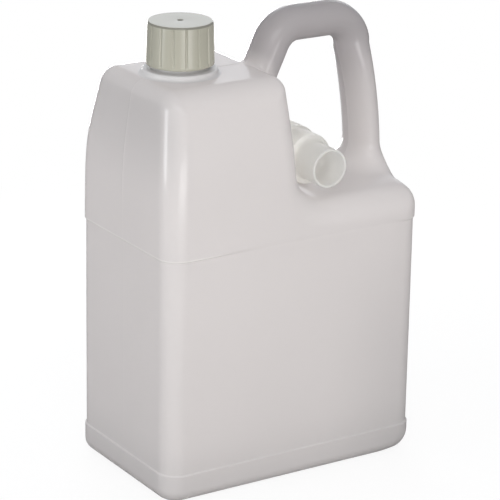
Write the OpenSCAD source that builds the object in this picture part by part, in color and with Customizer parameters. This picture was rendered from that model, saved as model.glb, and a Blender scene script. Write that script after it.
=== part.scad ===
// Blow-moulded jug for about five litres, with a screw cap on its tall end,
// a loop handle over its low end and a pouring spout stowed across the notch between them.
// X runs along the wide faces, Y through the depth, Z up. The origin is the middle of the base.

/* [Body] */
// Width over the two narrow faces
body_w = 196; // [180:1:230]
// Depth over the two wide faces
body_d = 120; // [110:1:135]
// Height of the flat top of the tall end
top_z = 271.3; // [262:0.1:290]
// Height of the low shoulder beside the handle leg, on the mid plane
shoulder_z = 191.4; // [184:0.1:196]
// Thickness of the moulded wall
wall = 1.6; // [1.2:0.1:2]
// Radius of the upright corners, seen from above
corner_r = 15; // [13:0.5:17]
// Radius of the edge round the base
base_r = 8.5; // [6:0.5:10]
// Height of the hollow under the base
push_up = 4; // [2:0.5:6]
// Width of the flat ring that the jug stands on
stand_w = 8; // [5:1:12]

/* [Label panel] */
// Height of the lower edge of the sunk label panel
panel_z0 = 20; // [16:1:30]
// Height of the upper edge of the sunk label panel
panel_z1 = 165; // [140:1:165]
// Depth of the label panel
panel_depth = 1; // [0.5:0.1:1.5]
// Height of the slope at each edge of the panel
panel_step = 1; // [0.5:0.1:1]

/* [Tall end] */
// Height of the soft bend above which the walls draw in
bend_z = 220.5; // [214:0.5:226]
// Half height over which the bend is spread
bend_soft = 18; // [12:1:22]
// How far each wide face draws in up to the flat top
face_draw = 12.5; // [9:0.5:15]
// How far the narrow face draws in up to the flat top
end_draw = 8.4; // [5:0.1:11]
// Radius of the top edge over the narrow face
top_end_r = 9.8; // [9.8:0.1:12]
// Radius of the top edge over the notch
top_notch_r = 11; // [10.6:0.1:14]
// Lean of the wall above the notch, in degrees from upright
notch_lean = 3.7; // [1:0.1:6]

/* [Low shoulder] */
// Radius of the shoulder's outer end, seen from the wide face
shoulder_end_r = 15; // [13:0.5:18]
// Rise of the shoulder from its outer end to the notch
notch_rise = 0.8; // [0.4:0.1:2]
// Fall of the shoulder from the mid plane to the start of its rounded edges
shoulder_fall = 4; // [3:0.1:6]
// Height of the rounding along the long upper edges
edge_drop = 10; // [8.5:0.1:10.4]

/* [Handle] */
// Height of the top of the grip
grip_top = 305.5; // [300:0.5:315]
// Half height of the grip's section
grip_a = 11.6; // [10:0.1:12.5]
// Half depth of the grip's section
grip_b = 13.5; // [11:0.5:16]
// Half width of the leg's section along the wide faces
leg_a = 10; // [8.5:0.1:11.5]
// Half depth of the leg's section
leg_b = 16.5; // [13:0.5:18]
// Place of the middle of the leg where it meets the shoulder
leg_x = 87.5; // [84:0.1:88]
// Place where the rising root crosses the flat top
root_x = 8.1; // [5:0.1:12]
// Angle of the rising root above level, in degrees
root_angle = 64.8; // [58:0.1:70]
// Radius of the bend over the root, at the middle of the tube
root_bend_r = 19.8; // [14:0.1:22]
// Radius of the bend over the leg, at the middle of the tube
leg_bend_r = 21; // [16:0.5:23]
// Height over which the leg widens into the shoulder
leg_flare_h = 20; // [14:1:24]
// How much the half depth of the leg grows there
leg_flare = 11; // [6:0.5:13]

/* [Neck] */
// Distance of the neck's axis from the narrow face beside it
neck_inset = 42.8; // [40:0.2:48]
// Radius of the neck under its thread
neck_r = 18; // [16:0.5:19]
// Radius of the mouth
mouth_r = 14.6; // [12:0.2:15]
// Radius of the collar at the foot of the neck
collar_r = 24; // [22:0.5:26]
// Height of the collar over the flat top
collar_h = 4; // [2:0.5:5]

/* [Cap] */
// Height of the underside of the cap over the flat top
cap_lift_z = 5.5; // [5.2:0.1:7]
// Height of the cap
cap_h = 28.4; // [25:0.1:32]
// Radius of the cap at its upper edge
cap_top_r = 21.3; // [21.2:0.1:24]
// Radius of the cap above its bottom band
cap_side_r = 21.9; // [21.9:0.1:24.5]
// Radius of the cap at its lower edge
cap_foot_r = 22.7; // [22:0.1:25]
// Height of the band where the cap widens
cap_band_h = 5; // [3:0.5:7]
// Thickness of the cap's top and skirt at the thread
cap_wall = 1.8; // [1.6:0.1:2]
// Chamfer round the cap's top
cap_chamfer = 1.4; // [0.8:0.1:1.8]
// Number of grip grooves
groove_count = 16; // [12:1:24]
// Turn of the first groove from the front, in degrees
groove_turn = 2.6; // [0:0.1:10]
// Depth of a grip groove
groove_depth = 0.7; // [0.4:0.1:0.9]
// Smooth band left above the grooves
groove_top_gap = 3; // [2:0.5:5]
// Smooth band left below the grooves
groove_foot_gap = 2; // [1:0.5:4]
// Diameter of the gate mark in the middle of the cap's top
gate_d = 3.2; // [2:0.2:5]
// Thickness of the sealing liner
liner_h = 1.2; // [0.8:0.1:2]

/* [Spout] */
// Distance of the spout's axis from the middle of the jug
spout_x = 23.2; // [21:0.2:26]
// Radius of the spout's wide part
spout_r = 18.1; // [16:0.1:19]
// Radius of the wide part at its front rim
spout_rim_r = 17.2; // [15:0.1:18]
// Radius of the nozzle
nozzle_r = 12.8; // [10:0.1:14]
// Length of the nozzle in front of the wide part
nozzle_l = 21; // [15:1:26]
// Length of the wide part
spout_l = 77; // [50:1:90]
// Thickness of the spout's wall
spout_wall = 1.5; // [1.2:0.1:2]
// Distance of the nozzle's tip behind the front face
tip_back = 2; // [1:0.5:6]

/* [Fit] */
// Clearance between the stowed spout and its seat
seat_gap = 0.3; // [0.2:0.05:0.6]
// Room that the notch leaves beside the stowed spout
notch_room = 1.8; // [1:0.1:3]
// Clearance between the mouth and the liner
seal_gap = 0.2; // [0.1:0.05:0.4]
// Clearance between the liner and the cap's skirt
liner_gap = 0.3; // [0.2:0.05:0.6]

/* [Hidden] */
$fn = 64;

body_colour = [0.86, 0.85, 0.84];
cap_colour = [0.76, 0.74, 0.68];
liner_colour = [0.93, 0.93, 0.92];
spout_colour = [0.88, 0.87, 0.82];

half_w = body_w / 2;
half_d = body_d / 2;
neck_x = half_w - neck_inset;
notch_floor_z = shoulder_z + notch_rise;
spout_z = notch_floor_z + spout_r + seat_gap;
notch_r = spout_r + seat_gap + notch_room;
notch_z = notch_floor_z + notch_r;
cap_z = top_z + cap_lift_z;
cap_top = cap_z + cap_h;
liner_z = cap_top - cap_wall - liner_h;
neck_top = liner_z - seal_gap;

// Rounding steps along an edge, as degrees from the middle of the shoulder or wall
edge_steps = [0, 18, 36, 54, 72, 90];
// Places of the points between the rounded edges, as shares of the flat depth
flat_steps = [-0.5, 0, 0.5];

function mix(a, b, t) = a + (b - a) * t;
function step(v, low, high) = min(1, max(0, (v - low) / (high - low)));
function reversed(v) = [for (i = [len(v) - 1 : -1 : 0]) v[i]];

// Share of the draw at a height: a straight taper above the bend that dies out softly below it
function bend(z) = (z - bend_z + norm([z - bend_z, bend_soft])) / 2;
function draw_share(z) = bend(z) / bend(top_z);
function draw_slope(z) = (1 + (z - bend_z) / norm([z - bend_z, bend_soft])) / 2 / bend(top_z);
function half_depth(z) = half_d - face_draw * draw_share(z);
function end_wall_x(z) = -half_w + end_draw * draw_share(z);
function end_wall_tilt(z) = atan(end_draw * draw_slope(z));
function shoulder_sag(y) = shoulder_fall * pow(y / (half_d - corner_r), 2);

// A cross line over the jug from the front face to the back face, at the point p of the
// outline with the outward normal n. half is its half depth, inset the rounding measured
// along the normal, round_y the rounding measured along Y, and sag the share of the
// shoulder's fall that it takes. skin moves it inwards by the wall.
function cross_line(p, n, half, inset, round_y, sag, skin) =
    let (flat = half - round_y, in_r = inset - skin, y_r = round_y - skin)
    concat(
        [for (a = reversed(edge_steps))
            cross_point(p, n, -flat - y_r * sin(a), skin + in_r * (1 - cos(a)), sag)],
        [for (t = flat_steps) cross_point(p, n, t * flat, skin, sag)],
        [for (a = edge_steps)
            cross_point(p, n, flat + y_r * sin(a), skin + in_r * (1 - cos(a)), sag)]);
function cross_point(p, n, y, depth, sag) =
    [p[0] - depth * n[0], y, p[1] - depth * n[1] - sag * shoulder_sag(y)];

// A ring has the cross line over the low end from front to back, then that of the tall end back.
function ring(right, left) = concat(right, reversed(left));

// Rings of the block under the shoulder: z, inset from the faces and corner radius
function block_levels(skin) =
    let (r = base_r - skin, foot = base_r + stand_w)
    concat(
        [[push_up + skin, foot + 2 * push_up, corner_r / 2]],
        [[skin, foot, corner_r / 2]],
        [for (a = [0 : 18 : 90])
            [base_r - r * cos(a), base_r - r * sin(a), corner_r - base_r + r * sin(a)]],
        [[panel_z0 - panel_step, skin, corner_r - skin]],
        [[panel_z0, skin + panel_depth, corner_r - skin - panel_depth]],
        [[panel_z1, skin + panel_depth, corner_r - skin - panel_depth]],
        [[panel_z1 + panel_step, skin, corner_r - skin]]);
function block_ring(level) =
    let (z = level[0], i = level[1], r = level[2])
    ring(cross_line([half_w - i, z], [1, 0], half_d - i, r, r, 0, 0),
         cross_line([-half_w + i, z], [-1, 0], half_d - i, r, r, 0, 0));

// Depth of a corner's rounding where it ends, just under the radius of the edge that it meets
edge_margin = 0.4;
shoulder_end_inset = shoulder_end_r - edge_margin;
top_end_inset = top_end_r - edge_margin;

// Outline of the low end, from the top of the end wall over the shoulder, round the notch
// and up to the flat top. Each station has its point, its normal, its share of the fall
// and the depth of the rounding to the wide faces.
end_arc = [for (a = [0 : 15 : 90])
    [[half_w - shoulder_end_r * (1 - cos(a)), shoulder_z - shoulder_end_r * (1 - sin(a))],
     [cos(a), sin(a)], sin(a), mix(shoulder_end_inset, edge_drop, sin(a))]];
floor_line = [for (t = [1 : 3])
    [[mix(half_w - shoulder_end_r, spout_x, t / 4), mix(shoulder_z, notch_floor_z, t / 4)],
     [0, 1], 1, edge_drop]];
notch_arc = [for (t = [0 : 7])
    let (a = (90 - notch_lean) * t / 7)
    [[spout_x - notch_r * sin(a), notch_z - notch_r * cos(a)],
     [sin(a), cos(a)], cos(a), edge_drop]];
wall_foot = notch_arc[7][0];
wall_top_z = top_z - top_notch_r * (1 - sin(notch_lean));
notch_wall = [for (t = [1 : 3])
    let (z = mix(wall_foot[1], wall_top_z, t / 4))
    [[wall_foot[0] - (z - wall_foot[1]) * tan(notch_lean), z],
     [cos(notch_lean), sin(notch_lean)], 0, edge_drop]];
wall_top_x = wall_foot[0] - (wall_top_z - wall_foot[1]) * tan(notch_lean);
top_arc_x = wall_top_x - top_notch_r * cos(notch_lean);
top_arc = [for (t = [0 : 5])
    let (a = mix(notch_lean, 90, t / 5))
    [[top_arc_x + top_notch_r * cos(a), top_z - top_notch_r * (1 - sin(a))],
     [cos(a), sin(a)], 0, edge_drop]];
low_stations = concat(end_arc, floor_line, notch_arc, notch_wall, top_arc);

// Height of the edge between a cross line and the wide face
function face_z(s) = s[0][1] - s[3] * s[1][1] - s[2] * shoulder_sag(half_d);
function low_cross(s, skin) =
    cross_line(s[0], s[1], half_depth(face_z(s)), s[3], corner_r, s[2], skin);

// Cross lines of the tall end's narrow face, one for each station of the low end
arc_count = len(top_arc);
wall_count = len(low_stations) - arc_count;
end_arc_tilt = end_wall_tilt(top_z - top_end_r);
end_arc_z = top_z - top_end_r * (1 - sin(end_arc_tilt));
end_arc_x = end_wall_x(end_arc_z) + top_end_r * cos(end_arc_tilt);
function end_inset(z) = mix(corner_r, top_end_inset, step(z, bend_z - bend_soft, top_z - top_end_r));
function end_wall_cross(z, skin) =
    let (a = end_wall_tilt(z))
    cross_line([end_wall_x(z), z], [-cos(a), sin(a)], half_depth(z), end_inset(z), corner_r, 0, skin);
function end_top_cross(t, skin) =
    let (a = mix(end_arc_tilt, 90, t))
    cross_line([end_arc_x - top_end_r * cos(a), top_z - top_end_r * (1 - sin(a))],
               [-cos(a), sin(a)], half_depth(top_z - top_end_r * (1 - sin(a)) - top_end_inset * sin(a)),
               top_end_inset, corner_r, 0, skin);

function body_rings(skin) = concat(
    [for (level = block_levels(skin)) block_ring(level)],
    [for (k = [0 : wall_count - 1])
        ring(low_cross(low_stations[k], skin), end_wall_cross(face_z(low_stations[k]), skin))],
    [for (k = [0 : arc_count - 1])
        ring(low_cross(top_arc[k], skin), end_top_cross(k / (arc_count - 1), skin))]);

// Side faces between rings of n points each
function side_faces(count, n) = [for (k = [0 : count - 2], i = [0 : n - 1], half = [0, 1])
    let (a = k * n + i, b = k * n + (i + 1) % n, c = b + n, d = a + n)
    half == 0 ? [a, d, c] : [a, c, b]];

// The body inside the given skin: rings up the block, then over the shoulder and the flat top
module body_form(skin) {
    rings = body_rings(skin);
    n = len(rings[0]);
    last = (len(rings) - 1) * n;
    base = [for (i = [0 : n - 1]) i];
    lid = [for (j = [0 : n / 2 - 2], half = [0, 1])
        half == 0 ? [last + j, last + n - 1 - j, last + n - 2 - j]
                  : [last + j, last + n - 2 - j, last + j + 1]];
    polyhedron([for (r = rings, p = r) p], concat([base], side_faces(len(rings), n), lid));
}

// Middle line of the handle: the root rising out of the tall end, the grip and the leg
grip_z = grip_top - grip_a;
// Straight run kept before each bend
bend_lead = 1;
// How far the root and the leg reach into the body
root_depth = 38;
root_start_z = top_z - root_depth;
root_corner_x = root_x + (grip_z - top_z) / tan(root_angle);
root_bend_l = root_bend_r * tan(root_angle / 2);
root_line = [for (t = [0 : 3])
    let (z = mix(root_start_z, grip_z - root_bend_l * sin(root_angle) - bend_lead, t / 3))
    [root_x + (z - top_z) / tan(root_angle), z]];
root_bend = [for (t = [0 : 5])
    let (a = root_angle * (1 - t / 5))
    [root_corner_x + root_bend_l - root_bend_r * sin(a), grip_z - root_bend_r * (1 - cos(a))]];
// The leg leans and bows out on its way down, to come flush with the narrow face
leg_foot_z = 208;
leg_slope = 0.062;
leg_bow = 0.0015;
function leg_line_x(z) = leg_x - leg_slope * (z - leg_foot_z) - leg_bow * pow(max(0, z - leg_foot_z), 2);
leg_top_z = grip_z - leg_bend_r + 2 * bend_lead;
leg_tilt = atan(leg_slope + 2 * leg_bow * (leg_top_z - leg_foot_z));
leg_bend_x = leg_line_x(leg_top_z) - leg_bend_r * cos(leg_tilt);
leg_bend = [for (t = [0 : 6])
    let (a = (90 - leg_tilt) * t / 6)
    [leg_bend_x + leg_bend_r * sin(a), grip_z - leg_bend_r * (1 - cos(a))]];
leg_depth = 14;
leg_end_z = shoulder_z - leg_depth;
leg_flare_z = shoulder_z + leg_flare_h;
leg_heights = concat([for (t = [1 : 4]) mix(leg_top_z, leg_flare_z, t / 4)],
                     [for (t = [1 : 5]) mix(leg_flare_z, leg_end_z, t / 5)]);
function flare_share(z) = pow(max(0, leg_flare_z - z) / leg_flare_h, 2);
// Share of the leg's own section, which the grip's section turns into below the bend
leg_blend_h = 30;
function leg_share(z) = step(leg_top_z - z, 0, leg_blend_h);
// Growth of the leg along the wide faces for each unit of its growth in depth
flare_ratio = 0.3;
function leg_half_w(z) = mix(grip_a, leg_a, leg_share(z)) + flare_ratio * leg_flare * flare_share(z);
function leg_half_d(z) = mix(grip_b, leg_b, leg_share(z)) + leg_flare * flare_share(z);
leg_line = [for (z = leg_heights) [min(leg_line_x(z), half_w - leg_half_w(z)), z]];
handle_line = concat(root_line, root_bend, leg_bend, leg_line);

// Ring of the handle at the point k of its middle line, square to its run
function handle_ring(k, skin) =
    let (p = handle_line[k],
         before = handle_line[max(0, k - 1)],
         after = handle_line[min(len(handle_line) - 1, k + 1)],
         run = (after - before) / norm(after - before),
         on_leg = k > len(handle_line) - len(leg_line) - 1,
         a = (on_leg ? leg_half_w(p[1]) : grip_a) - skin,
         b = (on_leg ? leg_half_d(p[1]) : grip_b) - skin)
    [for (i = [0 : 23])
        let (t = i * 15, out = a * sin(t))
        [p[0] + out * run[1], -b * cos(t), p[1] - out * run[0]]];

module handle_form(skin) {
    count = len(handle_line);
    n = 24;
    last = (count - 1) * n;
    polyhedron([for (k = [0 : count - 1]) for (p = handle_ring(k, skin)) p],
               concat([[for (i = [0 : n - 1]) i]], side_faces(count, n),
                      [[for (i = [n - 1 : -1 : 0]) last + i]]));
}

// How far the neck's foot reaches down into the wall
neck_sink = 1.2;
// Bevels of the collar, of the root of the neck and of its rim
collar_bevel = 2.5;
root_bevel = 0.6;
rim_bevel = 0.5;
module neck_form() {
    collar_z = top_z + collar_h;
    translate([-neck_x, 0, 0]) rotate_extrude() polygon([
        [0, top_z - neck_sink], [collar_r, top_z - neck_sink],
        [collar_r, collar_z - collar_bevel], [collar_r - collar_bevel, collar_z],
        [neck_r + root_bevel, collar_z], [neck_r, collar_z + root_bevel],
        [neck_r, neck_top - rim_bevel], [neck_r - rim_bevel, neck_top], [0, neck_top]]);
}

module container() {
    color(body_colour) difference() {
        union() {
            body_form(0);
            handle_form(0);
            neck_form();
        }
        body_form(wall);
        handle_form(wall);
        translate([-neck_x, 0, top_z - 3 * wall]) cylinder(r = mouth_r, h = neck_top - top_z + 4 * wall);
    }
}

// Radius inside the cap's skirt, which clears the neck and its thread
cap_inner_r = cap_top_r - cap_wall;
// Depth of the gate mark
gate_sink = 0.3;
// Lean of the cap's side, which the grooves follow
cap_side_lean = atan((cap_side_r - cap_top_r) / (cap_h - cap_band_h - cap_chamfer));
// Stand-off of the square bar that cuts a groove corner first
groove_stand_off = groove_depth * (sqrt(2) - 1);
module cap_groove(k) {
    rotate([0, 0, -90 + groove_turn + k * 360 / groove_count])
        translate([cap_side_r + groove_stand_off, 0, cap_z + groove_foot_gap])
            rotate([0, -cap_side_lean, 0]) rotate([0, 0, 45])
                translate([-groove_depth, -groove_depth, 0])
                    cube([2 * groove_depth, 2 * groove_depth, cap_h - groove_foot_gap - groove_top_gap]);
}

module screw_cap() {
    color(cap_colour) translate([-neck_x, 0, 0]) difference() {
        rotate_extrude() polygon([
            [0, cap_top - cap_wall], [cap_inner_r, cap_top - cap_wall], [cap_inner_r, cap_z],
            [cap_foot_r, cap_z], [cap_side_r, cap_z + cap_band_h], [cap_top_r, cap_top - cap_chamfer],
            [cap_top_r - cap_chamfer, cap_top], [0, cap_top]]);
        for (k = [0 : groove_count - 1]) cap_groove(k);
        translate([0, 0, cap_top - gate_sink]) cylinder(d = gate_d, h = 2 * gate_sink);
    }
}

module cap_liner() {
    color(liner_colour) translate([-neck_x, 0, liner_z])
        cylinder(r = cap_inner_r - liner_gap, h = liner_h);
}

// Stepped tube along Y, its nozzle towards the front face
edge_soft = 0.5;
rim_l = 9;
module pouring_spout() {
    inner_r = spout_rim_r - spout_wall;
    step_y = nozzle_l + spout_wall;
    end_y = nozzle_l + spout_l;
    color(spout_colour) translate([spout_x, -half_d + tip_back, spout_z]) rotate([-90, 0, 0])
        rotate_extrude() polygon([
            [nozzle_r - spout_wall, 0], [nozzle_r - edge_soft, 0], [nozzle_r, edge_soft],
            [nozzle_r, nozzle_l - 2 * edge_soft], [nozzle_r + 2 * edge_soft, nozzle_l],
            [spout_rim_r - edge_soft, nozzle_l], [spout_rim_r, nozzle_l + edge_soft],
            [spout_rim_r, nozzle_l + rim_l], [spout_r, nozzle_l + rim_l + spout_r - spout_rim_r],
            [spout_r, end_y - edge_soft], [spout_r - edge_soft, end_y], [inner_r, end_y],
            [inner_r, step_y], [nozzle_r - spout_wall, step_y]]);
}

container();
screw_cap();
cap_liner();
pouring_spout();
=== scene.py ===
"""Looks of the spouted jug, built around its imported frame.

Lengths are in millimetres until a mesh is made."""
import math

import bpy
import numpy as np
from mathutils import Matrix, Vector


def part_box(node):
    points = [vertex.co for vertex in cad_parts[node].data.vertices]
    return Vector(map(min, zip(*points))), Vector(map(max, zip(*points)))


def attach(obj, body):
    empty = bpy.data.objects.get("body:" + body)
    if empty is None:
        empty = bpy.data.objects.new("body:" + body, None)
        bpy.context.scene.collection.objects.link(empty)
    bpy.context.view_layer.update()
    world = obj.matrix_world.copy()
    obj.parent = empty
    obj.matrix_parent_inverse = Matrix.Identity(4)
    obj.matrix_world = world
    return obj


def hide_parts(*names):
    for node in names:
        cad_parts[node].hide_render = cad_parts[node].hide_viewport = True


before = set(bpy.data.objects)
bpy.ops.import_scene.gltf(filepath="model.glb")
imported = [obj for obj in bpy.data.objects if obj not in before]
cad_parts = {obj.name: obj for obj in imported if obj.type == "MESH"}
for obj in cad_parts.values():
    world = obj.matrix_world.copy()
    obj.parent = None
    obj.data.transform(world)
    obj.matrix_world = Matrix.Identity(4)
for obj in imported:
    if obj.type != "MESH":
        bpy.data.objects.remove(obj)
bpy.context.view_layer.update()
MM = 0.001


def box_mm(node):
    """Lowest and highest corner of a CAD node, in millimetres."""
    low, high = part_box(node)
    return np.array(low) / MM, np.array(high) / MM


# Sizes of the jug
SHELL_HIGH = box_mm("container")[1]
CAP_LOW, CAP_HIGH = box_mm("screw_cap")
SPOUT_LOW, SPOUT_HIGH = box_mm("pouring_spout")
HALF_W = SHELL_HIGH[0]
HALF_D = SHELL_HIGH[1]
TOP_Z = 271.3
SHOULDER_Z = 191.4
CORNER_R = 15.0
EDGE_R = 14.4
BASE_R = 8.5
BASE_END = 5.0
BASE_END_X = (70, 98)
RECESS_H = 4.0
RECESS_FROM = 8
RECESS_TO = 16
DEEPEST = 30
BEND_Z = 220.5
BEND_SOFT = 18.0
FACE_DRAW = 12.5
END_DRAW = 8.4
TOP_END_R = 9.8
TOP_NOTCH_R = 9.0
NOTCH_LEAN = math.radians(3.7)
SEAT_GAP = 0.3
NOTCH_ROOM = 1.8
SHOULDER_END_R = 12.5
SHOULDER_FALL = 4.0
NOTCH_RISE = 0.8
NOTCH_RISE_MOST = 1.6
SPOUT_R = (SPOUT_HIGH[0] - SPOUT_LOW[0]) / 2
SPOUT_X = (SPOUT_HIGH[0] + SPOUT_LOW[0]) / 2
SPOUT_Z = (SPOUT_HIGH[2] + SPOUT_LOW[2]) / 2
NOTCH_R = SPOUT_R + SEAT_GAP + NOTCH_ROOM
PANEL_Z = (20.0, 165.0)
PANEL_DEPTH = 1.0
PANEL_FADE = 0.75
PANEL_STEP = 1
PANEL_STEP_FADED = 2
FLAT_START_X = (-72, -20)
FLAT_END_X = (70, 92)
FLAT_Z = (60, 150)
LOW_EDGE_R = 2.0
NECK_X = (CAP_HIGH[0] + CAP_LOW[0]) / 2
NECK_R = 18.0
MOUTH_R = 14.6
NECK_TOP = 302.0
COLLAR_R = 24.4
COLLAR_H = 3.7
COLLAR_FILLET = 2.4


def round_over(a, b, r):
    """Meeting of two solids, a and b their distances, with the edge rounded by r."""
    return np.minimum(np.maximum(a, b), -r) + np.hypot(np.maximum(a + r, 0), np.maximum(b + r, 0))


def fillet(a, b, r):
    """Joining of two solids with a fillet of radius r between them."""
    return np.maximum(np.minimum(a, b), r) - np.hypot(np.maximum(r - a, 0), np.maximum(r - b, 0))


def ramp(v, low, high):
    """0 below low, 1 above high, and a smooth rise between."""
    t = np.clip((v - low) / (high - low), 0, 1)
    return t * t * (3 - 2 * t)


def bend(z):
    """A rise that starts softly where the walls bend inwards, and then goes on straight."""
    return (z - BEND_Z + np.hypot(z - BEND_Z, BEND_SOFT)) / 2


def draw_share(z):
    return bend(z) / bend(TOP_Z)


# The handle's middle line in the XZ plane: root, grip and leg
GRIP_TOP = 305.2
GRIP_A = 11.6
GRIP_B = 13.5
LEG_A = 9.9
LEG_B = 16.8
LEG_BLEND = (255.0, 285.0)
GRIP_Z = GRIP_TOP - GRIP_A
ROOT_X = 8.1
ROOT_ANGLE = math.radians(64.8)
ROOT_BEND_R = 19.8
LEG_BEND_R = 21.0
LEG_X = 87.5
LEG_FOOT_Z = 208.0
LEG_SLOPE = 0.062
LEG_BOW = 0.0015
ROOT_FILLET = 3.5
FOOT_FILLET = 17.0
FILLET_CHANGE_X = (40, 60)
ROOT_DEPTH = 34
LEG_OVERLAP = 2
FOOT_DEPTH = 12
LEG_FROM_X = (60, 76)


def leg_line_x(z):
    return LEG_X - LEG_SLOPE * (z - LEG_FOOT_Z) - LEG_BOW * np.maximum(0, z - LEG_FOOT_Z) ** 2


def handle_line():
    """Points of the handle's middle line, from inside the tall end to inside the shoulder."""
    corner_x = ROOT_X + (GRIP_Z - TOP_Z) / math.tan(ROOT_ANGLE)
    start_z = TOP_Z - ROOT_DEPTH
    points = [(ROOT_X + (start_z - TOP_Z) / math.tan(ROOT_ANGLE), start_z)]
    bend_x = corner_x + ROOT_BEND_R * math.tan(ROOT_ANGLE / 2)
    for a in np.linspace(ROOT_ANGLE, 0, 13):
        drop = ROOT_BEND_R * (1 - math.cos(a))
        points.append((bend_x - ROOT_BEND_R * math.sin(a), GRIP_Z - drop))
    leg_top = GRIP_Z - LEG_BEND_R + LEG_OVERLAP
    tilt = math.atan(LEG_SLOPE + 2 * LEG_BOW * (leg_top - LEG_FOOT_Z))
    bend_x = leg_line_x(leg_top) - LEG_BEND_R * math.cos(tilt)
    for a in np.linspace(0, math.pi / 2 - tilt, 15):
        points.append((bend_x + LEG_BEND_R * math.sin(a), GRIP_Z - LEG_BEND_R * (1 - math.cos(a))))
    for z in np.linspace(leg_top, SHOULDER_Z - FOOT_DEPTH, 17):
        points.append((float(leg_line_x(z)), z))
    return np.array(points)


HANDLE_LINE = handle_line()
SEAM_H = 0.22
SEAM_W = 0.45
SEAM_FAINT = 0.3
SEAM_FULL_Z = (185.0, 215.0)
SEAM_START_Z = (6.0, 14.0)


def line_distance(x, z, line):
    """Distance in the XZ plane from each point to a polyline."""
    best = np.full(x.shape, 1e9)
    for (ax, az), (bx, bz) in zip(line[:-1], line[1:]):
        dx, dz = bx - ax, bz - az
        t = np.clip(((x - ax) * dx + (z - az) * dz) / (dx * dx + dz * dz), 0, 1)
        best = np.minimum(best, (x - ax - t * dx) ** 2 + (z - az - t * dz) ** 2)
    return np.sqrt(best)


def handle_field(x, y, z):
    """Distance to the handle's oval tube, whose leg is thinner and deeper than its grip."""
    across = line_distance(x, z, HANDLE_LINE)
    leg = ramp(x, *LEG_FROM_X) * (1 - ramp(z, *LEG_BLEND))
    a = GRIP_A + (LEG_A - GRIP_A) * leg
    b = GRIP_B + (LEG_B - GRIP_B) * leg
    k = np.maximum(np.hypot(across / a, y / b), 1e-3)
    return (k - 1) * k / np.hypot(across / a ** 2, y / b ** 2).clip(1e-4)


def block_field(x, y, z):
    """Distance to the blown body without its handle."""
    sag = SHOULDER_FALL * (y / (HALF_D - CORNER_R)) ** 2
    rise = (HALF_W - SHOULDER_END_R - x) / (HALF_W - SHOULDER_END_R - SPOUT_X)
    floor_z = SHOULDER_Z + NOTCH_RISE * np.clip(rise, 0, NOTCH_RISE_MOST)
    floor = z - (floor_z - sag)
    notch_x = SPOUT_X - NOTCH_R - (z - SPOUT_Z) * math.tan(NOTCH_LEAN)
    notch_wall = (x - notch_x) * math.cos(NOTCH_LEAN)
    top = z - TOP_Z
    end_wall = -x - HALF_W + END_DRAW * draw_share(z)
    low = round_over(floor, x - HALF_W, SHOULDER_END_R)
    tall = round_over(notch_wall, top, TOP_NOTCH_R)
    outline = fillet(tall, low, NOTCH_R)
    outline = round_over(outline, end_wall, TOP_END_R)
    face = np.abs(y) - HALF_D + FACE_DRAW * draw_share(z)
    side = round_over(outline, face, EDGE_R)
    flat = ramp(x, *FLAT_START_X) * (1 - ramp(x, *FLAT_END_X)) * ramp(z, *FLAT_Z)
    step = PANEL_STEP + PANEL_STEP_FADED * flat
    panel = ramp(z, PANEL_Z[0] - PANEL_STEP, PANEL_Z[0]) - ramp(z, PANEL_Z[1], PANEL_Z[1] + step)
    side = side + PANEL_DEPTH * (1 - PANEL_FADE * flat) * panel
    inset = -np.maximum(side, -DEEPEST)
    under = -z + RECESS_H * ramp(inset, BASE_R + RECESS_FROM, BASE_R + RECESS_TO)
    return round_over(side, under, BASE_R + BASE_END * ramp(x, *BASE_END_X))


def jug_field(x, y, z):
    """Distance to the whole blown shell, with its parting line."""
    join_r = ROOT_FILLET + (FOOT_FILLET - ROOT_FILLET) * ramp(x, *FILLET_CHANGE_X)
    d = fillet(block_field(x, y, z), handle_field(x, y, z), join_r)
    d = round_over(d, x - HALF_W, LOW_EDGE_R)
    seam = SEAM_H * np.exp(-(y / SEAM_W) ** 2)
    seam = seam * (SEAM_FAINT + (1 - SEAM_FAINT) * ramp(z, *SEAM_FULL_Z)) * ramp(z, *SEAM_START_Z)
    return np.maximum(d - seam, np.abs(x) - HALF_W)


def spaced(*stretches):
    """Grid lines from stretches of (start, end, spacing)."""
    lines = []
    for start, end, spacing in stretches:
        count = max(1, round(abs(end - start) / spacing))
        lines.extend(np.linspace(start, end, count, endpoint=False))
    lines.append(stretches[-1][1])
    return np.array(lines)


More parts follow.
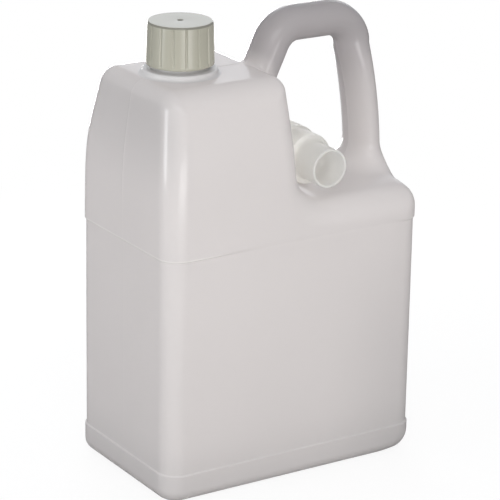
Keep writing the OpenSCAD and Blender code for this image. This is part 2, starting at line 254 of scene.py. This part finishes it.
def surface_net(field, xs, ys, zs):
    """Points and quads of the surface where the field is zero, one point for each cell crossed."""
    values = np.empty((len(xs), len(ys), len(zs)))
    for i, x in enumerate(xs):
        gy, gz = np.meshgrid(ys, zs, indexing="ij")
        values[i] = field(np.full(gy.shape, x), gy, gz)
    inside = values < 0
    cells = tuple(n - 1 for n in values.shape)
    total = np.zeros(cells + (3,))
    count = np.zeros(cells)
    crossings = []
    for axis in range(3):
        low = [slice(None)] * 3
        high = [slice(None)] * 3
        low[axis] = slice(0, -1)
        high[axis] = slice(1, None)
        a, b = values[tuple(low)], values[tuple(high)]
        cross = inside[tuple(low)] != inside[tuple(high)]
        i, j, k = np.nonzero(cross)
        t = a[cross] / (a[cross] - b[cross])
        point = np.stack([xs[i], ys[j], zs[k]], axis=1)
        lines = (xs, ys, zs)[axis]
        index = (i, j, k)[axis]
        point[:, axis] += t * (lines[index + 1] - lines[index])
        crossings.append((i, j, k, inside[tuple(low)][cross]))
        others = [n for n in range(3) if n != axis]
        for du in (0, -1):
            for dv in (0, -1):
                c = [i, j, k]
                c[others[0]] = c[others[0]] + du
                c[others[1]] = c[others[1]] + dv
                ok = np.all([(c[n] >= 0) & (c[n] < cells[n]) for n in range(3)], axis=0)
                at = tuple(v[ok] for v in c)
                np.add.at(total, at, point[ok])
                np.add.at(count, at, 1)
    used = count > 0
    number = np.full(cells, -1)
    number[used] = np.arange(used.sum())
    points = total[used] / count[used][:, None]
    quads = []
    for axis, (i, j, k, low_inside) in enumerate(crossings):
        u, v = [(1, 2), (2, 0), (0, 1)][axis]
        corners = []
        for du, dv in ((-1, -1), (0, -1), (0, 0), (-1, 0)):
            c = [i, j, k]
            c[u] = c[u] + du
            c[v] = c[v] + dv
            corners.append(number[tuple(c)])
        quad = np.stack(corners, axis=1)
        quad[~low_inside] = quad[~low_inside][:, ::-1]
        quads.append(quad)
    return points, np.concatenate(quads)


def settle(field, points, rounds=4, probe=0.02):
    """Moves points onto the surface where the field is zero."""
    for _ in range(rounds):
        x, y, z = points.T
        value = field(x, y, z)
        slope = np.stack([field(x + probe, y, z) - field(x - probe, y, z),
                          field(x, y + probe, z) - field(x, y - probe, z),
                          field(x, y, z + probe) - field(x, y, z - probe)], axis=1) / (2 * probe)
        move = value[:, None] * slope / (slope ** 2).sum(axis=1, keepdims=True).clip(0.05)
        length = np.linalg.norm(move, axis=1, keepdims=True)
        points = points - move * np.minimum(1, 1.0 / length.clip(1e-9))
    return points


def new_piece(name, points, faces, material, body, node):
    """A mesh object from points in millimetres, dressed and riding on a body."""
    mesh = bpy.data.meshes.new(name)
    mesh.from_pydata((np.asarray(points) * MM).tolist(), [], [list(map(int, f)) for f in faces])
    mesh.validate()
    mesh.polygons.foreach_set("use_smooth", [True] * len(mesh.polygons))
    mesh.update()
    piece = bpy.data.objects.new(name, mesh)
    bpy.context.scene.collection.objects.link(piece)
    piece.data.materials.append(material)
    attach(piece, body)
    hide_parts(node)
    return piece


def lathe(profile, columns=128, closed=False):
    """Points and quads of a profile of (radius, height) turned about Z."""
    points, faces = [], []
    for i in range(columns):
        a = 2 * math.pi * i / columns
        for r, h in profile:
            points.append((r * math.cos(a), r * math.sin(a), h))
    n = len(profile)
    for i in range(columns):
        for j in range(n if closed else n - 1):
            a, b = i * n + j, i * n + (j + 1) % n
            c, d = ((i + 1) % columns) * n + (j + 1) % n, ((i + 1) % columns) * n + j
            faces.append((a, d, c, b))
    return np.array(points), faces


def softened(profile, sharp, r=0.4, steps=3):
    """The closed profile with each corner, apart from the sharp ones, rounded by about r."""
    out = []
    n = len(profile)
    for i, p in enumerate(profile):
        p = np.array(p, float)
        if i in sharp:
            out.append(tuple(p))
            continue
        before, after = np.array(profile[i - 1], float), np.array(profile[(i + 1) % n], float)
        in_len, out_len = np.linalg.norm(before - p), np.linalg.norm(after - p)
        a = p + (before - p) * min(r, in_len * 0.45) / in_len
        b = p + (after - p) * min(r, out_len * 0.45) / out_len
        for t in np.linspace(0, 1, steps + 1):
            out.append(tuple((1 - t) ** 2 * a + 2 * t * (1 - t) * p + t ** 2 * b))
    return out


# Materials
def new_material(name, colour):
    material = bpy.data.materials.new(name)
    material.use_nodes = True
    material.diffuse_color = (*colour, 1)
    return material, material.node_tree.nodes, material.node_tree.links


def colour_mix(nodes, links, factor, first, second):
    """A colour between two others, each a colour or an output."""
    mix = nodes.new("ShaderNodeMix")
    mix.data_type = "RGBA"
    links.new(factor, mix.inputs["Factor"])
    for socket, value in ((mix.inputs[6], first), (mix.inputs[7], second)):
        if isinstance(value, tuple):
            socket.default_value = (*value, 1)
        else:
            links.new(value, socket)
    return mix.outputs[2]


def scaled(colour, factor):
    return tuple(min(1, c * factor) for c in colour)


BLOTCH_SCALE = 14


def plastic(name, colour, roughness, grain_mm, grain_height, blotch,
            glow=0.0, glow_colour=None, tints=(), ior=1.5):
    """Moulded plastic with slow colour variation and a fine grain.

    glow is the share of light that passes through the wall. Each tint is the name of the mesh
    attribute that gives its share, with its colour."""
    material, nodes, links = new_material(name, colour)
    shader = nodes["Principled BSDF"]
    shader.inputs["Roughness"].default_value = roughness
    shader.inputs["IOR"].default_value = ior
    place = nodes.new("ShaderNodeTexCoord")
    slow = nodes.new("ShaderNodeTexNoise")
    slow.inputs["Scale"].default_value = BLOTCH_SCALE
    slow.inputs["Detail"].default_value = 3
    links.new(place.outputs["Object"], slow.inputs["Vector"])
    dark, light = scaled(colour, 1 - blotch), scaled(colour, 1 + blotch)
    tone = colour_mix(nodes, links, slow.outputs["Fac"], dark, light)
    for attribute, tint in tints:
        share = nodes.new("ShaderNodeAttribute")
        share.attribute_name = attribute
        tone = colour_mix(nodes, links, share.outputs["Fac"], tone, tint)
    links.new(tone, shader.inputs["Base Color"])
    grain = nodes.new("ShaderNodeTexNoise")
    grain.inputs["Scale"].default_value = 1 / (grain_mm * MM)
    grain.inputs["Detail"].default_value = 2
    links.new(place.outputs["Object"], grain.inputs["Vector"])
    bump = nodes.new("ShaderNodeBump")
    bump.inputs["Strength"].default_value = 1
    bump.inputs["Distance"].default_value = grain_height * MM
    links.new(grain.outputs["Fac"], bump.inputs["Height"])
    links.new(bump.outputs["Normal"], shader.inputs["Normal"])
    if glow:
        through = nodes.new("ShaderNodeBsdfTranslucent")
        if glow_colour:
            through.inputs["Color"].default_value = (*glow_colour, 1)
        else:
            links.new(tone, through.inputs["Color"])
        mix = nodes.new("ShaderNodeMixShader")
        mix.inputs["Fac"].default_value = glow
        links.new(shader.outputs["BSDF"], mix.inputs[1])
        links.new(through.outputs["BSDF"], mix.inputs[2])
        links.new(mix.outputs["Shader"], nodes["Material Output"].inputs["Surface"])
    return material


SHELL_COLOUR = (0.85, 0.82, 0.81)
# Painted shade: the handle is tinted darker than the body, less so on its leg
HANDLE_SHADE_COLOUR = (0.57, 0.545, 0.55)
# Painted shade: the shell is tinted darker towards the base, high on the tall end and low on the shoulder
# end
PAINTED_SHADE_COLOUR = (0.56, 0.55, 0.55)
# Painted highlight: a pale line along the panel's top step and, faintly, along the parting line
EDGE_HIGHLIGHT_COLOUR = (0.97, 0.95, 0.93)
NECK_COLOUR = (0.73, 0.715, 0.71)
CAP_COLOUR = (0.405, 0.395, 0.33)
CAP_SHADE = (0.18, 0.175, 0.15)
LINER_COLOUR = (0.85, 0.85, 0.84)
SPOUT_COLOUR = (0.97, 0.965, 0.945)
# All three shell tints are painted light: shade on the handle, shade low and at the ends, a highlight on the
# panel's edge
SHELL_TINTS = (("handle_shade_share", HANDLE_SHADE_COLOUR), ("painted_shade_share", PAINTED_SHADE_COLOUR), ("painted_highlight_share", EDGE_HIGHLIGHT_COLOUR))
CAP_TINTS = (("shade_share", CAP_SHADE),)
SHELL_PLASTIC = plastic("milky_shell", SHELL_COLOUR, 0.2, 3.0, 0.012, 0.012, glow=0.45, tints=SHELL_TINTS)
NECK_PLASTIC = plastic("milky_neck", NECK_COLOUR, 0.35, 3.0, 0.008, 0.012, glow=0.15)
CAP_PLASTIC = plastic("cap_plastic", CAP_COLOUR, 0.24, 1.2, 0.01, 0.015, tints=CAP_TINTS, ior=1.36)
LINER_FOAM = plastic("liner_foam", LINER_COLOUR, 0.7, 0.5, 0.05, 0.02)
SPOUT_PLASTIC = plastic("spout_plastic", SPOUT_COLOUR, 0.12, 2.0, 0.006, 0.01,
                        glow=0.68, glow_colour=SPOUT_COLOUR)


# Grid lines of the shell's mesh: stretches of start, end and spacing, finer where the form curves
GRID_X = ((-99.3, -76, 1.5), (-76, -40, 3.2), (-40, -16, 2.4), (-16, 40, 1.4), (40, 62, 1.8),
          (62, 98, 1.4), (98, 99.4, 1.4))
GRID_Y = ((0, 0.9, 0.3), (0.9, 16.5, 1.7), (16.5, 30, 2.2), (30, 61.5, 1.5))
GRID_Z = ((-1.3, 10.2, 1.15), (10.2, 18.6, 2.1), (18.6, 20.4, 0.3), (20.4, 26, 1.4), (26, 156, 5),
          (156, 164.6, 1.8), (164.6, 166.4, 0.3), (166.4, 170, 1.2), (170, 306.5, 1.5))


def shell_shares(x, y, z):
    """Shares of the shell's three tints of painted light: painted shade on the handle, painted shade darker
    towards the base, high on the tall end and low on the shoulder end, and a painted highlight on the
    panel's top edge and the parting line.
    """
    leg = ramp(x, 60, 84) * (1 - ramp(z, 245, 292))
    near_base = 1 - ramp(z, 2, 46)
    tall_end = ramp(-x, 76, 97) * ramp(z, 195, 262)
    low_end = ramp(x, 20, 95) * (1 - ramp(z, 60, 175))
    panel_top = PANEL_Z[1]
    edge = ramp(z, panel_top - 0.3, panel_top + 0.1) * (1 - ramp(z, panel_top + 1.2, panel_top + 2.0))
    faded = ramp(x, -76, -40) * (1 - ramp(x, 84, 94))
    seam = np.exp(-(y / 0.6) ** 2) * ramp(z, 150, 200) * ramp(-x, 80, 90)
    # Painted shade on the handle, growing away from the block and weaker on the leg
    return {"handle_shade_share": ramp(block_field(x, y, z), 0.0, 14.0) * (1 - 0.8 * leg),
            # Painted shade: darker towards the base, high on the tall end and low on the shoulder end
            "painted_shade_share": np.clip(0.28 * near_base + 0.55 * tall_end + 0.3 * low_end, 0, 1),
            # Painted highlight along the panel's top step, weaker where the panel fades, and faintly along
            # the parting line
            "painted_highlight_share": edge * (1 - 0.9 * faded) + 0.1 * seam}


def make_shell():
    """The blown shell: block, handle and parting line in one closed sheet."""
    side = spaced(*GRID_Y)
    ys = np.concatenate([-side[:0:-1], side])
    points, quads = surface_net(jug_field, spaced(*GRID_X), ys, spaced(*GRID_Z))
    points = settle(jug_field, points)
    shell = new_piece("shell", points, quads, SHELL_PLASTIC, "jug", "container")
    for name, values in shell_shares(*points.T).items():
        shell.data.attributes.new(name, "FLOAT", "POINT").data.foreach_set("value", values)
    return shell


def make_neck():
    """The collar on the tall end and the plain neck above it, with the mouth open through both."""
    collar_z = TOP_Z + COLLAR_H
    foot = [(COLLAR_R + COLLAR_FILLET * (1 - math.sin(a)),
             TOP_Z - 0.03 + COLLAR_FILLET * (1 - math.cos(a))) for a in np.linspace(0, math.pi / 2, 7)]
    rim = [(COLLAR_R - 0.2, collar_z - 0.9), (COLLAR_R - 0.9, collar_z - 0.1),
           (NECK_R + 1.0, collar_z), (NECK_R, collar_z + 1.0),
           (NECK_R, NECK_TOP - 0.4), (NECK_R - 0.4, NECK_TOP), (MOUTH_R, NECK_TOP)]
    sunk = TOP_Z - 0.5
    profile = [(MOUTH_R, sunk), (COLLAR_R + COLLAR_FILLET, sunk)] + foot + rim
    points, faces = lathe(softened(profile, {0, 1, 2, len(profile) - 1}, 0.4), closed=True)
    points[:, 0] += NECK_X
    return new_piece("neck", points, faces, NECK_PLASTIC, "jug", "container")


CAP_FOOT_R = 22.15
CAP_SIDE_R = 21.3
CAP_DISC_R = 20.45
CAP_INNER_R = 19.2
CAP_CHAMFER = 1.2
CAP_TOP_WALL = 1.8
GROOVES = 16
GROOVE_PITCH = 360 / GROOVES
GROOVE_TURN = 2.6
GROOVE_DEPTH = 0.75
GROOVE_HALF = 2.5
# Columns of the cap's mesh round one groove, in degrees from its middle
GROOVE_COLUMNS = (-GROOVE_PITCH / 2, -8, -5, -3.2, -2.75, -2.5, -2.2, -1.5, -0.7,
                  0, 0.7, 1.5, 2.2, 2.5, 2.75, 3.2, 5, 8)


def make_cap():
    """The ribbed cap: a turned skirt with upright grooves between two smooth bands, and a gate mark."""
    z0, z1 = CAP_LOW[2] + 0.7, CAP_HIGH[2] + 0.3

    def wall(h, groove):
        """A point of the leaning side, and the share of the groove's depth there."""
        lean = (CAP_SIDE_R - CAP_FOOT_R) * (h - z0) / (z1 - CAP_CHAMFER - z0)
        return (CAP_FOOT_R + lean, h, groove)

    profile = [(CAP_FOOT_R - 0.5, z0, 0), (CAP_FOOT_R - 0.02, z0 + 0.4, 0)]
    profile += [wall(z0 + h, g) for h, g in ((1.9, 0), (2.6, 0.6), (3.4, 1), (8, 1), (14, 1), (20, 1))]
    profile += [wall(z1 - h, g) for h, g in ((2.6, 1), (1.9, 0.5), (1.4, 0))]
    chamfer = [(CAP_SIDE_R - 0.1, z1 - 1.05), (CAP_DISC_R + 0.1, z1 - 0.12), (CAP_DISC_R, z1 - 0.02)]
    disc = [(CAP_DISC_R - 0.3, z1), (CAP_DISC_R - 1.2, z1), (CAP_DISC_R - 8, z1 - 0.02)]
    gate_mark = [(2.4, z1 - 0.04), (1.8, z1 - 0.08), (1.5, z1 - 0.5), (0.5, z1 - 0.55)]
    inside = [(0.5, z1 - CAP_TOP_WALL), (CAP_INNER_R, z1 - CAP_TOP_WALL),
              (CAP_INNER_R, z0 + 0.4), (CAP_INNER_R + 0.4, z0)]
    profile += [(r, h, 0) for r, h in chamfer + disc + gate_mark + inside]
    points = []
    for k in range(GROOVES):
        for offset in GROOVE_COLUMNS:
            a = math.radians(GROOVE_PITCH * k - 90 + GROOVE_TURN + offset)
            cut = GROOVE_DEPTH * max(0.0, 1 - (offset / GROOVE_HALF) ** 2) ** 0.6
            for r, h, g in profile:
                points.append((NECK_X + (r - g * cut) * math.cos(a), (r - g * cut) * math.sin(a), h))
    faces = []
    n, m = len(profile), GROOVES * len(GROOVE_COLUMNS)
    for i in range(m):
        here, there = i * n, (i + 1) % m * n
        for j in range(n):
            up = (j + 1) % n
            faces.append((here + j, there + j, there + up, here + up))
    cap = new_piece("cap", points, faces, CAP_PLASTIC, "cap", "screw_cap")
    height = np.array(points)[:, 2]
    shade = 0.8 * ramp(height, z1 - 1.45, z1 - 0.95) * (1 - ramp(height, z1 - 0.1, z1 - 0.03))
    cap.data.attributes.new("shade_share", "FLOAT", "POINT").data.foreach_set("value", shade)
    return cap


NOZZLE_R = 12.8
NOZZLE_L = 24.0
SPOUT_WALL = 1.5
STEP_R = 16.7
STEP_L = 17.0
RING_PITCH = 6
RING_DEPTH = 0.45


def make_spout():
    """The stowed spout: a nozzle, a step and a wide tube with moulded rings."""
    length = SPOUT_HIGH[1] - SPOUT_LOW[1]
    step_end = NOZZLE_L + STEP_L
    low_r = SPOUT_R - RING_DEPTH
    profile = [(NOZZLE_R - SPOUT_WALL, 0), (NOZZLE_R, 0), (NOZZLE_R, 20),
               (NOZZLE_R + 0.4, NOZZLE_L - 1.2), (NOZZLE_R + 1.2, NOZZLE_L),
               (STEP_R - 0.4, NOZZLE_L + 0.1), (STEP_R, NOZZLE_L + 0.6), (STEP_R + 0.2, step_end - 1),
               (SPOUT_R, step_end + 0.5)]
    for y in range(int(step_end + 5), int(length) - 4, RING_PITCH):
        profile += [(low_r, y), (low_r, y + 1.2), (SPOUT_R, y + 2), (SPOUT_R, y + 4.6)]
    profile += [(SPOUT_R, length), (SPOUT_R - SPOUT_WALL, length),
                (SPOUT_R - SPOUT_WALL, step_end + SPOUT_WALL), (STEP_R - SPOUT_WALL, step_end),
                (STEP_R - SPOUT_WALL, NOZZLE_L + 3), (NOZZLE_R - SPOUT_WALL, NOZZLE_L + 0.5)]
    points, faces = lathe(softened(profile, set(), 0.5), columns=144, closed=True)
    x, y, z = points.T
    turned = np.stack([x + SPOUT_X, z + SPOUT_LOW[1], y + SPOUT_Z], axis=1)
    faces = [f[::-1] for f in faces]
    return new_piece("spout", turned, faces, SPOUT_PLASTIC, "jug", "pouring_spout")


# Stage, light and camera
FLOOR_GREY = (0.13, 0.13, 0.135)
FLOOR_WHITE = (0.99, 0.99, 0.99)
FLOOR_GLOW = 0.88
FLOOR_FADE = (0.2, 0.6)
FLOOR_HALF = 6.0


def make_floor():
    """A pale floor that keeps the shadow near the jug and turns pure white away from it."""
    material, nodes, links = new_material("floor_white", (0.95, 0.95, 0.95))
    shader = nodes["Principled BSDF"]
    shader.inputs["Roughness"].default_value = 0.9
    path = nodes.new("ShaderNodeLightPath")
    seen = path.outputs["Is Camera Ray"]
    links.new(colour_mix(nodes, links, seen, FLOOR_GREY, FLOOR_WHITE), shader.inputs["Base Color"])
    glow = nodes.new("ShaderNodeEmission")
    mix = nodes.new("ShaderNodeMixShader")
    place = nodes.new("ShaderNodeTexCoord")
    far = nodes.new("ShaderNodeVectorMath")
    far.operation = "LENGTH"
    links.new(place.outputs["Object"], far.inputs[0])
    fade = nodes.new("ShaderNodeMapRange")
    fade.interpolation_type = "SMOOTHSTEP"
    fade.inputs["From Min"].default_value = FLOOR_FADE[0]
    fade.inputs["From Max"].default_value = FLOOR_FADE[1]
    fade.inputs["To Min"].default_value = FLOOR_GLOW
    links.new(far.outputs["Value"], fade.inputs["Value"])
    share = nodes.new("ShaderNodeMath")
    share.operation = "MULTIPLY"
    links.new(fade.outputs["Result"], share.inputs[1])
    links.new(seen, share.inputs[0])
    links.new(share.outputs[0], mix.inputs["Fac"])
    links.new(shader.outputs["BSDF"], mix.inputs[1])
    links.new(glow.outputs["Emission"], mix.inputs[2])
    links.new(mix.outputs["Shader"], nodes["Material Output"].inputs["Surface"])
    mesh = bpy.data.meshes.new("floor")
    s = FLOOR_HALF
    mesh.from_pydata([(-s, -s, 0), (s, -s, 0), (s, s, 0), (-s, s, 0)], [], [(0, 1, 2, 3)])
    mesh.materials.append(material)
    floor = bpy.data.objects.new("floor", mesh)
    bpy.context.scene.collection.objects.link(floor)


def aim(thing, place, target, roll=0.0):
    """Puts a lamp or camera at a place and turns it to a target, with a roll about its view."""
    forward = (Vector(target) - Vector(place)).normalized()
    turn = forward.to_track_quat("-Z", "Y").to_matrix().to_4x4()
    thing.location = place
    thing.rotation_euler = (turn @ Matrix.Rotation(roll, 4, "Z")).to_euler()


def softbox(name, place, target, width, height, power, colour):
    light = bpy.data.lights.new(name, "AREA")
    light.shape = "RECTANGLE"
    light.size = width
    light.size_y = height
    light.energy = power
    light.color = colour
    lamp = bpy.data.objects.new(name, light)
    bpy.context.scene.collection.objects.link(lamp)
    aim(lamp, place, target)


def around(azimuth, distance, height):
    """A place round the jug, its azimuth in degrees from +X."""
    a = math.radians(azimuth)
    return (distance * math.cos(a), distance * math.sin(a), height)


WORLD_GREY = (0.53, 0.53, 0.535)
WORLD_GLOW = (0.58, 0.59, 0.62)
GLOW_FROM = Vector((0.40, 0.62, 0.67)).normalized()
GLOW_EDGE = (0.42, 0.62)


def make_world():
    """A grey room, a little brighter above and behind the jug. The camera sees it white."""
    world = bpy.data.worlds.new("studio")
    bpy.context.scene.world = world
    world.use_nodes = True
    nodes, links = world.node_tree.nodes, world.node_tree.links
    place = nodes.new("ShaderNodeTexCoord")
    toward = nodes.new("ShaderNodeVectorMath")
    toward.operation = "DOT_PRODUCT"
    toward.inputs[1].default_value = GLOW_FROM
    links.new(place.outputs["Generated"], toward.inputs[0])
    share = nodes.new("ShaderNodeMapRange")
    share.interpolation_type = "SMOOTHSTEP"
    share.inputs["From Min"].default_value = GLOW_EDGE[0]
    share.inputs["From Max"].default_value = GLOW_EDGE[1]
    links.new(toward.outputs["Value"], share.inputs["Value"])
    room = colour_mix(nodes, links, share.outputs["Result"], WORLD_GREY, WORLD_GLOW)
    path = nodes.new("ShaderNodeLightPath")
    seen = colour_mix(nodes, links, path.outputs["Is Camera Ray"], room, (1.0, 1.0, 1.0))
    links.new(seen, nodes["Background"].inputs["Color"])


def make_light():
    middle = (0, 0, 0.16)
    softbox("front_high", around(-123, 1.1, 1.0), middle, 0.7, 0.6, 4.1, (1.0, 1.0, 1.0))
    softbox("front_near", around(-100, 0.8, 0.16), middle, 0.5, 0.3, 3.05, (1.0, 0.99, 0.98))
    softbox("left", around(176, 1.3, 0.26), middle, 0.4, 0.44, 5.7, (0.95, 0.98, 1.0))
    softbox("behind", around(57, 1.3, 0.5), middle, 0.8, 0.8, 2.7, (0.93, 0.96, 1.0))
    softbox("behind_low", around(70, 0.8, 0.14), (0, 0, 0.14), 0.5, 0.22, 4.2, (1.0, 1.0, 1.0))


CAMERA_AT = (-0.88900, -1.38275, 0.71492)
CAMERA_TARGET = (0, 0, 0.130)
LENS = 188.44
CAMERA_ROLL = math.radians(1.012)
# Middle of the view in the photo, in pixels from the middle of its frame
FRAME_PX = 500
PRINCIPAL_PX = (-0.783, 16.471)


def make_camera():
    camera = bpy.data.objects.new("camera", bpy.data.cameras.new("camera"))
    bpy.context.scene.collection.objects.link(camera)
    camera.data.sensor_width = 36
    camera.data.lens = LENS
    camera.data.shift_x = -PRINCIPAL_PX[0] / FRAME_PX
    camera.data.shift_y = PRINCIPAL_PX[1] / FRAME_PX
    camera.data.clip_end = 50
    aim(camera, CAMERA_AT, CAMERA_TARGET, CAMERA_ROLL)
    bpy.context.scene.camera = camera


make_camera()
make_floor()
make_world()
make_light()
make_shell()
make_neck()
make_cap()
make_spout()
for material_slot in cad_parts["cap_liner"].material_slots:
    material_slot.material = LINER_FOAM
bpy.context.scene.view_settings.view_transform = "Standard"
